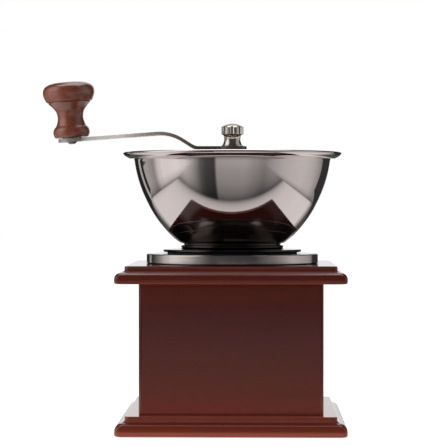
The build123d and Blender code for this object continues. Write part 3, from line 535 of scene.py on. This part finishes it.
# Drawer: a stained front with rounded-over edges that stands just proud of the case, on a tray of
# bare beech boards, glued up with butt joints. It slides on the base.
bare_beech, tree, shader, place = new_finish("bare_beech")
turned = add_node(tree, "ShaderNodeMapping", {"Vector": place, "Rotation": (radians(90), 0, 0)}).outputs[0]
grain = add_node(tree, "ShaderNodeGroup", {0: turned, 1: 320.0}, node_tree=wood_grain).outputs
colour = add_ramp(tree, grain["Tone"], [(0.3, (0.40, 0.25, 0.14)), (0.7, (0.62, 0.44, 0.28))])
flecked = mix_colours(tree, grain["Pores"], colour, (0.30, 0.17, 0.09, 1))
feed(tree, shader, {"Base Color": flecked, "Roughness": 0.75, "Specular IOR Level": 0.25})
rough_surface(tree, shader, grain["Height"], strength=0.3, depth=0.0002)
dress(bare_beech, "top_dowels")

face_round = 1.2
face_low, face_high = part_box("drawer_front")
drawer_face = board("drawer_face", "drawer_front", lambda p: p.y > face_high.y * 1000 - 0.1, face_round)
fit(drawer_face, mahogany_across, "drawer", "drawer_front")
for name, node in (
    ("tray_left", "drawer_left_side"),
    ("tray_right", "drawer_right_side"),
    ("tray_back", "drawer_back"),
    ("tray_bottom", "drawer_bottom"),
):
    fit(board(name, node), bare_beech, "drawer", node)


# Drawer pull: a small knob turned from walnut-brown stained wood, screwed on from inside the drawer.
# The lathe leaves one smooth outline from its foot, over a slim stem, to the crown.
def smooth_steps(points, count):
    """Steps along a smooth line through (radius, height) points, count to each stretch."""
    before_first = [3 * a - 3 * b + c for a, b, c in zip(*points[:3])]
    after_last = [3 * a - 3 * b + c for a, b, c in zip(*points[:-4:-1])]
    ends = [before_first, *points, after_last]
    steps = []
    for spots in zip(ends, ends[1:], ends[2:], ends[3:]):
        for i in range(count):
            t = i / count
            weights = (
                -t + 2 * t**2 - t**3,
                2 - 5 * t**2 + 3 * t**3,
                t + 4 * t**2 - 3 * t**3,
                t**3 - t**2,
            )
            steps.append(tuple(sum(w * p[k] for w, p in zip(weights, spots)) / 2 for k in (0, 1)))
    return steps + [points[-1]]


def turned_piece(name, steps, sides=96, hollow=True):
    """Piece turned about Z from (radius, height) steps in mm. A hollow one closes on to its first step."""
    radius, height = steps[0]
    bpy.ops.object.select_all(action="DESELECT")
    bpy.ops.mesh.primitive_circle_add(vertices=sides, radius=radius / 1000, location=(0, 0, height / 1000))
    made = bpy.context.active_object
    made.name = name
    bpy.ops.object.transform_apply(location=True)
    bpy.ops.object.mode_set(mode="EDIT")
    bpy.ops.mesh.select_mode(type="EDGE")
    bpy.ops.mesh.select_all(action="SELECT")
    raise_outline(steps)
    bpy.ops.mesh.select_all(action="DESELECT")
    bpy.ops.mesh.select_non_manifold()
    if hollow:
        bpy.ops.mesh.bridge_edge_loops()
    else:
        bpy.ops.mesh.fill_holes(sides=0)
    bpy.ops.object.mode_set(mode="OBJECT")
    return made


def set_in_place(piece, place, tilt):
    """Moves a piece made about the origin to its place in mm, and leaves its object at the origin."""
    piece.location = [a / 1000 for a in place]
    piece.rotation_euler = [radians(a) for a in tilt]
    bpy.ops.object.transform_apply(location=True, rotation=True, scale=True)


walnut = (0.138, 0.031, 0.015), (0.178, 0.043, 0.022)
pull_place = (0, face_high.y * 1000, (face_low.z + face_high.z) * 500)
pull_tilt = (-90, 0, 0)
walnut_pull = stained_wood("walnut_pull", pull_tilt, walnut, pull_place, gloss=1.75, haze=0.25)
pull_bore_r, pull_bore_depth, pull_foot_r = 2.05, 9.5, 5.9
pull_steps = [(pull_bore_r, pull_bore_depth), (pull_bore_r, 0), (pull_foot_r, 0)]
pull_stem = [(6.2, 0.3), (5.3, 2.3), (4.8, 4.5), (5.5, 6.4)]
pull_crown = [(7.6, 8.25), (9.0, 10.95), (7.29, 13.575), (3.0, 15)]
pull = turned_piece("pull", pull_steps + smooth_steps(pull_stem + pull_crown, 4), 64, hollow=False)
finish_mesh(pull)
set_in_place(pull, pull_place, pull_tilt)
fit(pull, walnut_pull, "drawer", "drawer_knob")


# Top plate: moulded as the base is, with a round hole for the burr housing, and dowelled and glued
# on to the side panels.
def drill(piece, radius, places, sides=64, low=None):
    """Cuts upright holes of so many sides at (x, y) places, through the piece or from a height, in mm."""
    heights = [point.co.z * 1000 for point in piece.data.vertices]
    top = max(heights) + 1
    foot = min(heights) - 1 if low is None else low
    for x, y in places:
        bpy.ops.object.select_all(action="DESELECT")
        bpy.ops.mesh.primitive_cylinder_add(
            vertices=sides,
            radius=radius / 1000,
            depth=(top - foot) / 1000,
            location=(x / 1000, y / 1000, (foot + top) / 2000),
            rotation=(0, 0, radians(180 / sides)),
        )
        bit = bpy.context.active_object
        bpy.ops.object.select_all(action="DESELECT")
        bpy.context.view_layer.objects.active = piece
        hole = piece.modifiers.new("hole", "BOOLEAN")
        hole.operation = "DIFFERENCE"
        hole.object = bit
        bpy.ops.object.modifier_apply(modifier="hole")
        bpy.data.objects.remove(bit)
    piece.select_set(True)


housing_hole_r = 25.55
moulded_top = moulded_plate("moulded_top", "top_plate")
drill(moulded_top, housing_hole_r, [(0, 0)])
finish_mesh(moulded_top)
fit(moulded_top, mahogany_across, "case", "top_plate")

# Burr housing: one grey casting with a flange, a cup and a three-armed spider, sand-blasted and left
# bare. It hangs in the top plate's hole and carries the burrs.
cast_grey, tree, shader, place = new_finish("cast_grey")
lumps = noise(tree, place, 700.0, detail=5.0)
stains = noise(tree, place, 70.0, detail=3.0)
colour = add_ramp(tree, stains, [(0.3, (0.24, 0.24, 0.25)), (0.7, (0.36, 0.36, 0.36))])
blasted = rescale(tree, lumps, to_low=0.45, to_high=0.7)
feed(tree, shader, {"Base Color": colour, "Metallic": 0.9, "Roughness": blasted})
rough_surface(tree, shader, lumps, strength=0.35, depth=0.0002)
dress(cast_grey, "burr_housing")

# Burrs: a toothed ring and a toothed cone of fired ceramic, off-white with fine specks and a slight
# sheen on the ground teeth. The ring is fixed in the housing and the cone rides on the shaft's hexagon.
ceramic, tree, shader, place = new_finish("fired_ceramic")
specks = noise(tree, place, 1500.0, detail=3.0)
colour = add_ramp(tree, noise(tree, place, 90.0), [(0.3, (0.66, 0.63, 0.57)), (0.7, (0.76, 0.74, 0.69))])
speckled = mix_colours(tree, rescale(tree, specks, low=0.66, high=0.72), colour, (0.36, 0.32, 0.27, 1))
feed(tree, shader, {"Base Color": speckled, "Roughness": rescale(tree, specks, to_low=0.3, to_high=0.5)})
rough_surface(tree, shader, specks, strength=0.1, depth=0.0001)
dress(ceramic, "outer_burr", "inner_burr")


# Steel inside the mill: the snap ring under the burr, the bridge over the hopper's throat, the shaft
# and its collar, drawn or turned and left bright, with fine tool lines round the mill's axis.
def turned_lines_group():
    """Shader group for fine rings round the Z axis, as a lathe or a polishing wheel leaves them."""
    group = bpy.data.node_groups.new("turned_lines", "ShaderNodeTree")
    group.interface.new_socket("Vector", in_out="INPUT", socket_type="NodeSocketVector")
    group.interface.new_socket("Scale", in_out="INPUT", socket_type="NodeSocketFloat")
    group.interface.new_socket("Lines", in_out="OUTPUT", socket_type="NodeSocketFloat")
    start = group.nodes.new("NodeGroupInput").outputs
    level = {0: start["Vector"], 1: (1, 1, 0)}
    flat = add_node(group, "ShaderNodeVectorMath", level, operation="MULTIPLY").outputs[0]
    radius = add_node(group, "ShaderNodeVectorMath", {0: flat}, operation="LENGTH").outputs["Value"]
    height = add_node(group, "ShaderNodeSeparateXYZ", {0: start["Vector"]}).outputs["Z"]
    spot = add_node(group, "ShaderNodeCombineXYZ", {"X": radius, "Z": height}).outputs[0]
    lines = noise(group, spot, start["Scale"], detail=4.0)
    feed(group, group.nodes.new("NodeGroupOutput"), {"Lines": lines})
    return group


turned_lines = turned_lines_group()


def turned_metal(name, colour, scale, shade, smooth, dull, bump, tones=((0, 1.0), (1000, 1.0))):
    """Metal with turned lines: their scale, the shade between them, the roughness, and the bump. Tones paint
    light and shade by height.
    """
    finish, tree, shader, place = new_finish(name)
    lines = add_node(tree, "ShaderNodeGroup", {0: place, 1: scale}, node_tree=turned_lines).outputs["Lines"]
    smudges = noise(tree, place, 55.0, detail=3.0)
    marks = calculate(tree, "MULTIPLY", calculate(tree, "ADD", lines, smudges), 0.5)
    tint = add_ramp(tree, marks, [(0.35, tuple(c * shade for c in colour)), (0.65, colour)])
    gloss = rescale(tree, marks, low=0.35, high=0.65, to_low=smooth, to_high=dull)
    feed(tree, shader, {"Base Color": shaded(tree, place, tint, tones), "Metallic": 1.0, "Roughness": gloss})
    rough_surface(tree, shader, lines, strength=bump, depth=0.0001)
    return finish


bright_steel = turned_metal(
    "bright_steel", (0.58, 0.56, 0.54), 2500.0, shade=0.85, smooth=0.22, dull=0.36, bump=0.08
)
dress(bright_steel, "burr_retainer", "shaft_bridge", "drive_shaft", "thrust_collar")

# Bushes and the knob's washer: sintered brass, dull and slightly porous. The bushes are pressed into
# the housing's hub and the bridge, and the washer lies loose under the knob.
brass = turned_metal(
    "sintered_brass", (0.62, 0.43, 0.19), 1800.0, shade=0.8, smooth=0.3, dull=0.45, bump=0.15
)
dress(brass, "lower_bush", "upper_bush", "knob_washer")

# Burr spring: round wire with a dark heat finish, wound into an open coil round the shaft. It pushes the
# cone down.
dark_wire, pale_wire = (0.16, 0.16, 0.18), (0.30, 0.30, 0.32)
spring_wire = mottled_finish(
    "spring_wire", dark_wire, pale_wire, 900.0, detail=3.0, smooth=0.25, dull=0.45, metal=1.0
)
wire_r, coil_r, coil_low, coil_rise, coil_turns, steps_a_turn = 0.5, 5.1, 80.8, 8.4, 4.5, 36
wire_place = (coil_r / 1000, 0, coil_low / 1000)
bpy.ops.object.select_all(action="DESELECT")
bpy.ops.mesh.primitive_circle_add(
    vertices=16, radius=wire_r / 1000, location=wire_place, rotation=(radians(90), 0, 0)
)
coil_spring = bpy.context.active_object
coil_spring.name = "coil_spring"
bpy.ops.object.transform_apply(location=True, rotation=True)
wound = coil_spring.modifiers.new("wound", "SCREW")
wound.angle = radians(360 * coil_turns)
wound.screw_offset = coil_rise / 1000
wound.steps = wound.render_steps = round(coil_turns * steps_a_turn)
bpy.ops.object.modifier_apply(modifier="wound")
bpy.ops.object.mode_set(mode="EDIT")
bpy.ops.mesh.select_mode(type="EDGE")
bpy.ops.mesh.select_all(action="DESELECT")
bpy.ops.mesh.select_non_manifold()
bpy.ops.mesh.fill_holes(sides=0)
finish_mesh(coil_spring)
coil_spring.data.materials.append(spring_wire)
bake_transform(coil_spring)
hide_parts("burr_spring")

# Adjusting nut: a lobed nut of black plastic, moulded with a fine pebbled skin. It runs on the shaft's
# thread under the cone and sets how far the burrs stand apart.
black, worn_black = (0.012, 0.012, 0.013), (0.024, 0.024, 0.026)
black_plastic = mottled_finish(
    "black_plastic", black, worn_black, 1600.0, detail=2.0, smooth=0.4, dull=0.6, bump=0.25
)
dress(black_plastic, "adjusting_nut")

# Collar ring: a shallow cap pressed from steel sheet, brushed round on the wheel, that covers the
# housing's flange and lifts the hopper off the wood. Its top face is darkened as painted shade for the hopper
# above it.
clamp_hole_r, clamp_reach = 1.55, 25
clamp_places = [(clamp_reach, 0), (-clamp_reach, 0), (0, clamp_reach), (0, -clamp_reach)]
ring_low, ring_top = (corner.z * 1000 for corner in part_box("collar_ring"))
ring_r, ring_hole_r, ring_sheet, ring_round = 50.5, 18.2, 1.0, 0.8
ring_side, ring_ceiling = ring_r - ring_round, ring_top - ring_sheet
ring_steps = [(ring_hole_r, ring_ceiling), (ring_hole_r, ring_top), (30, ring_top), (48.5, ring_top)]
ring_steps += arc_steps((ring_side, ring_top - ring_round), ring_round, 90, 0, 4)
ring_steps += arc_steps((ring_side, ring_low + ring_round), ring_round, 0, -90, 4)
ring_steps += [(ring_r - ring_sheet, ring_low), (ring_r - ring_sheet, ring_ceiling), (30, ring_ceiling)]
collar = turned_piece("collar", ring_steps, sides=128)
drill(collar, clamp_hole_r, clamp_places)
finish_mesh(collar)
# The top face's tone is painted shade, darkened for the hopper's shade over it.
painted_shade_top = [(95, 1.0), (100.9, 1.0), (101.2, 0.12), (102, 0.12)]
brushed_ring = turned_metal(
    "brushed_ring",
    (0.64, 0.575, 0.55),
    2600.0,
    shade=0.86,
    smooth=0.10,
    dull=0.16,
    bump=0.04,
    tones=painted_shade_top,
)
fit(collar, brushed_ring, "case", "collar_ring")

# Gasket: a flat ring punched from black rubber sheet, with a faint grey bloom. The screws clamp it
# between the collar and the hopper's foot.
fresh_rubber, bloomed_rubber = (0.010, 0.010, 0.010), (0.026, 0.025, 0.025)
rubber = mottled_finish(
    "black_rubber", fresh_rubber, bloomed_rubber, 300.0, detail=4.0, smooth=0.6, dull=0.85, bump=0.2
)
dress(rubber, "hopper_gasket")

# Hopper foot: a thin flange, a bead and a short neck spun from steel, dark and mirror-smooth. It stands
# between the collar and the bowl.
foot_low, foot_top = (corner.z * 1000 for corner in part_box("hopper_foot"))
throat_r, flange_r, flange_round, neck_r, bead_round, bead_height = 17.5, 40.7, 0.8, 28.4, 0.9, 3.1
foot_steps = [(throat_r, foot_low), (30, foot_low)]
foot_steps += arc_steps((flange_r - flange_round, foot_low + flange_round), flange_round, -90, 90, 8)
foot_steps += arc_steps((neck_r + bead_round, foot_low + bead_height), bead_round, -90, 90, 8)
foot_steps += [(neck_r, foot_top - 0.6), (neck_r, foot_top), (throat_r, foot_top)]
foot = turned_piece("foot", foot_steps, sides=128)
drill(foot, clamp_hole_r, clamp_places)
finish_mesh(foot)
# The foot's steel is dark, and darkened further as painted shade for the shade between the collar and the
# bowl.
dark_steel = turned_metal(
    "dark_steel", (0.06, 0.054, 0.05), 2200.0, shade=0.9, smooth=0.08, dull=0.13, bump=0.03
)
fit(foot, dark_steel, "case", "hopper_foot")

# Hopper bowl: spun from thin steel sheet on a lathe, polished to a mirror, its rim turned out flat and
# rolled over at the edge. Four screws clamp its floor.
bowl_sheet, bowl_low = 0.8, foot_top
wall_middle, wall_curve, wall_end = (-15.97, 164.87), 74.15, -8.05
neck_middle, neck_curve, neck_end = (65.371, 153.37), 8.0, 160
fold_middle, fold_curve, fold_end = (58.323, 155.935), 0.5, 92
bowl_steps = [(throat_r, bowl_low + bowl_sheet), (throat_r, bowl_low), (24, bowl_low), (29.3, bowl_low)]
bowl_steps += arc_steps(wall_middle, wall_curve, -50.6, wall_end, 40)
bowl_steps += arc_steps(neck_middle, neck_curve, 180 + wall_end, neck_end, 4)[1:]
bowl_steps += arc_steps(fold_middle, fold_curve, neck_end, fold_end, 4)[1:]
rim_under = [(60.8, 156.5), (63.42, 158.2), (64.0, 158.84), (64.2, 159.2), (64.3, 159.6), (64.2, 160.0)]
rim_roll = arc_steps((63.3, 159.5), 1.0, 50, 140, 6)
rim_top = [(62.0, 158.6), (60.5, 157.32)]
bowl_steps += rim_under + rim_roll + rim_top
bowl_steps += arc_steps(fold_middle, fold_curve + bowl_sheet, fold_end, neck_end, 4)
bowl_steps += arc_steps(neck_middle, neck_curve + bowl_sheet, neck_end, 180 + wall_end, 4)[1:-1]
bowl_steps += arc_steps(wall_middle, wall_curve - bowl_sheet, wall_end, -50.5, 40)
bowl_steps += [(30.0, bowl_low + bowl_sheet + 0.1), (24, bowl_low + bowl_sheet)]
bowl = turned_piece("bowl", bowl_steps, sides=160)
drill(bowl, clamp_hole_r, clamp_places)
finish_mesh(bowl)
mirror_steel = turned_metal(
    "mirror_steel", (0.68, 0.60, 0.585), 1500.0, shade=0.93, smooth=0.045, dull=0.075, bump=0.012
)
fit(bowl, mirror_steel, "case", "hopper_bowl")

# Crank arm: a bar of flat steel with a level hub, an S-bend and a long part that falls gently to the
# knob, brushed along its length, with painted light that makes it pale towards the knob and dark towards the
# hub and a painted shadow under the knob, and with its edges eased. A square hole takes the shaft.
bar_thick, bar_half, hub_r, end_r, square_hole, axle_hole_r = 2.0, 5.5, 8.5, 8.0, 6.1, 2.15
arm_reach, hub_height, end_height = 94.2, 163.0, 167.733
arm_climb, arm_fall, low_bend, high_bend = 32.37, 4.2, 9.0, 24.0
bar_steps = [(x, hub_height, half) for x, half in arc_steps((0, 0), hub_r, 3, 139.7, 10)]
bar_steps += [(-13, hub_height, bar_half)]
bends = arc_steps((-19.288, hub_height + low_bend), low_bend, -90, -90 - arm_climb, 8)
bends += arc_steps((-42.252, 147.484), high_bend, 90 - arm_climb, 90 + arm_fall, 10)
bar_steps += [(x, z, bar_half) for x, z in bends]
for x, half in arc_steps((-arm_reach, 0), end_r, 43.43, 177, 10):
    bar_steps.append((x, end_height + (x + arm_reach) * tan(radians(arm_fall)), half))
x, z, half = bar_steps[0]
bpy.ops.object.select_all(action="DESELECT")
bpy.ops.mesh.primitive_plane_add(size=2 * half / 1000, location=(x / 1000, 0, z / 1000))
bar = bpy.context.active_object
bar.name = "bar"
bpy.ops.object.transform_apply(location=True)
select_parts(bar, "edges", lambda p: p.x > x)
bpy.ops.mesh.select_all(action="INVERT")
bpy.ops.mesh.delete(type="EDGE")
bpy.ops.mesh.select_all(action="SELECT")
bpy.ops.transform.translate(value=(-half / 1000, 0, 0))
for next_x, next_z, next_half in bar_steps[1:]:
    step = ((next_x - x) / 1000, 0, (next_z - z) / 1000)
    bpy.ops.mesh.extrude_edges_move(TRANSFORM_OT_translate={"value": step})
    bpy.ops.transform.resize(value=(1, next_half / half, 1), center_override=(0, 0, 0))
    x, z, half = next_x, next_z, next_half
bpy.ops.object.mode_set(mode="OBJECT")
strip = bar.modifiers.new("strip", "SOLIDIFY")
strip.thickness = bar_thick / 1000
strip.offset = 0.0
strip.use_even_offset = True
bpy.ops.object.modifier_apply(modifier="strip")
drill(bar, square_hole / 2**0.5, [(0, 0)], sides=4)
drill(bar, axle_hole_r, [(-arm_reach, 0)])
finish_mesh(bar, ease=0.8, segments=4)
brushed_bar, tree, shader, place = new_finish("brushed_bar")
drawn_out = add_node(tree, "ShaderNodeMapping", {"Vector": place, "Scale": (0.03, 1.0, 1.0)}).outputs[0]
lines = noise(tree, drawn_out, 2600.0, detail=4.0)
colour = add_ramp(tree, lines, [(0.3, (0.78, 0.74, 0.70)), (0.7, (0.92, 0.87, 0.82))])
along = add_node(tree, "ShaderNodeSeparateXYZ", {0: place}).outputs["X"]
along = rescale(tree, along, low=-0.10, high=0.01)
# Painted light along the bar: a painted shadow under the knob, pale beyond it, and dark towards the hub as
# painted shade.
painted_light_along_bar = [(0.1, 0.3), (0.14, 0.85), (0.3, 1.0)]
painted_light_along_bar += [(0.46, (0.5, 0.47, 0.44)), (0.6, (0.24, 0.21, 0.18)), (0.74, (0.08, 0.07, 0.06))]
colour = mix_colours(tree, 1.0, colour, add_ramp(tree, along, painted_light_along_bar), "MULTIPLY")
gloss = rescale(tree, lines, to_low=0.2, to_high=0.3)
feed(tree, shader, {"Base Color": colour, "Metallic": 0.3, "Roughness": gloss})
rough_surface(tree, shader, lines, strength=0.08, depth=0.0001)
fit(bar, brushed_bar, "rotor", "crank_arm")

# Cap nut and washer: a domed nut with a flared foot and ten flutes round its head, turned, milled and
# nickel plated, with painted shade that darkens the neck a little and the dome more. It holds the arm on the
# shaft's stud.
cap_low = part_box("cap_nut")[0].z * 1000
stud_r, stud_top, cap_foot_r, head_r, head_low, head_top = 3.0, 172.9, 5.6, 6.7, 171.4, 174.9
dome_middle, dome_r, dome_edge, dome_crown = 166.281, 11.119, 52.4, 88
cap_steps = [(stud_r, stud_top), (stud_r, cap_low), (cap_foot_r, cap_low)]
cap_steps += smooth_steps([(5.8, 164.7), (4.85, 167.288), (4.85, 169.0), (5.2, 170.3)], 5)
cap_steps += [(head_r - 0.25, head_low - 0.3), (head_r, head_low), (head_r, head_top)]
cap_steps += arc_steps((0, dome_middle), dome_r, dome_edge, dome_crown, 9)
cap = turned_piece("cap", cap_steps, sides=80, hollow=False)
flutes, flute_r, flute_reach, flute_low = 10, 1.5, 7.6, 170.0
flute_bearings = [radians(360 / flutes * (i + 0.5)) for i in range(flutes)]
flute_places = [(flute_reach * cos(a), flute_reach * sin(a)) for a in flute_bearings]
drill(cap, flute_r, flute_places, sides=32, low=flute_low)
finish_mesh(cap, ease=0.12)
# Painted shade by height: the nickel is darker on the neck and darker still on the dome, and the head is left
# bright.
painted_shade_dome_neck = [(160, 0.7), (170.5, 0.7), (171.2, 1.0), (174.9, 1.0), (175.6, 0.3), (180, 0.3)]
nickel = turned_metal(
    "nickel_plate",
    (0.92, 0.86, 0.80),
    2500.0,
    shade=0.9,
    smooth=0.07,
    dull=0.13,
    bump=0.03,
    tones=painted_shade_dome_neck,
)
fit(cap, nickel, "rotor", "cap_nut")
dress(nickel, "arm_washer")

# Knob axle: a steel rivet through the arm's end and the knob, square to the arm, headed over under the
# arm and again in the knob's crown. Age has browned it.
knob_place = (-arm_reach, 0, end_height + bar_thick / 2 / cos(radians(arm_fall)))
knob_tilt = (0, -arm_fall, 0)
rivet_r, rivet_top = 2.0, 30.8
rivet_steel = turned_metal(
    "rivet_steel", (0.20, 0.18, 0.14), 2500.0, shade=0.85, smooth=0.2, dull=0.32, bump=0.08
)
rivet_steps = smooth_steps([(0.3, -3.39), (1.62, -3.26), (2.484, -2.63), (2.7, -bar_thick)], 4)
rivet_steps += [(rivet_r, -bar_thick), (rivet_r, rivet_top)]
rivet_steps += smooth_steps([(4.0, rivet_top), (3.68, 31.7), (2.2, 32.42), (0.3, 32.59)], 4)
rivet = turned_piece("rivet", rivet_steps, sides=48, hollow=False)
finish_mesh(rivet)
set_in_place(rivet, knob_place, knob_tilt)
fit(rivet, rivet_steel, "rotor", "knob_axle")

# Crank knob: turned from the same walnut-brown stained wood as the pull, with a beaded foot, a waist and
# a full head, and lacquered. It turns on the axle, whose upper head is sunk in its crown.
walnut_knob = stained_wood("walnut_knob", knob_tilt, walnut, knob_place, gloss=1.75, haze=0.25)
knob_low, knob_bore_r, knob_sink_r, knob_sink = 0.6, 2.1, 4.3, 30.5
knob_steps = [(knob_bore_r, knob_sink), (knob_bore_r, knob_low), (6, knob_low)]
knob_steps += arc_steps((6.06, 3.6), 4.64, -40.3, 40.3, 10)
knob_steps += smooth_steps([(9.0, 7.0), (7.75, 10.43), (7.55, 13.42), (8.7, 16.82), (12.3, 20.8)], 6)
knob_steps += [(12.2, 21.4)]
knob_steps += smooth_steps([(13.3, 21.7), (15.13, 26.5), (14.15, 30.35), (10.0, 32.42), (4.5, 32.85)], 7)
knob_steps += [(knob_sink_r, 32.7), (knob_sink_r, knob_sink)]
knob = turned_piece("knob", knob_steps)
finish_mesh(knob)
set_in_place(knob, knob_place, knob_tilt)
fit(knob, walnut_knob, "knob", "crank_knob")
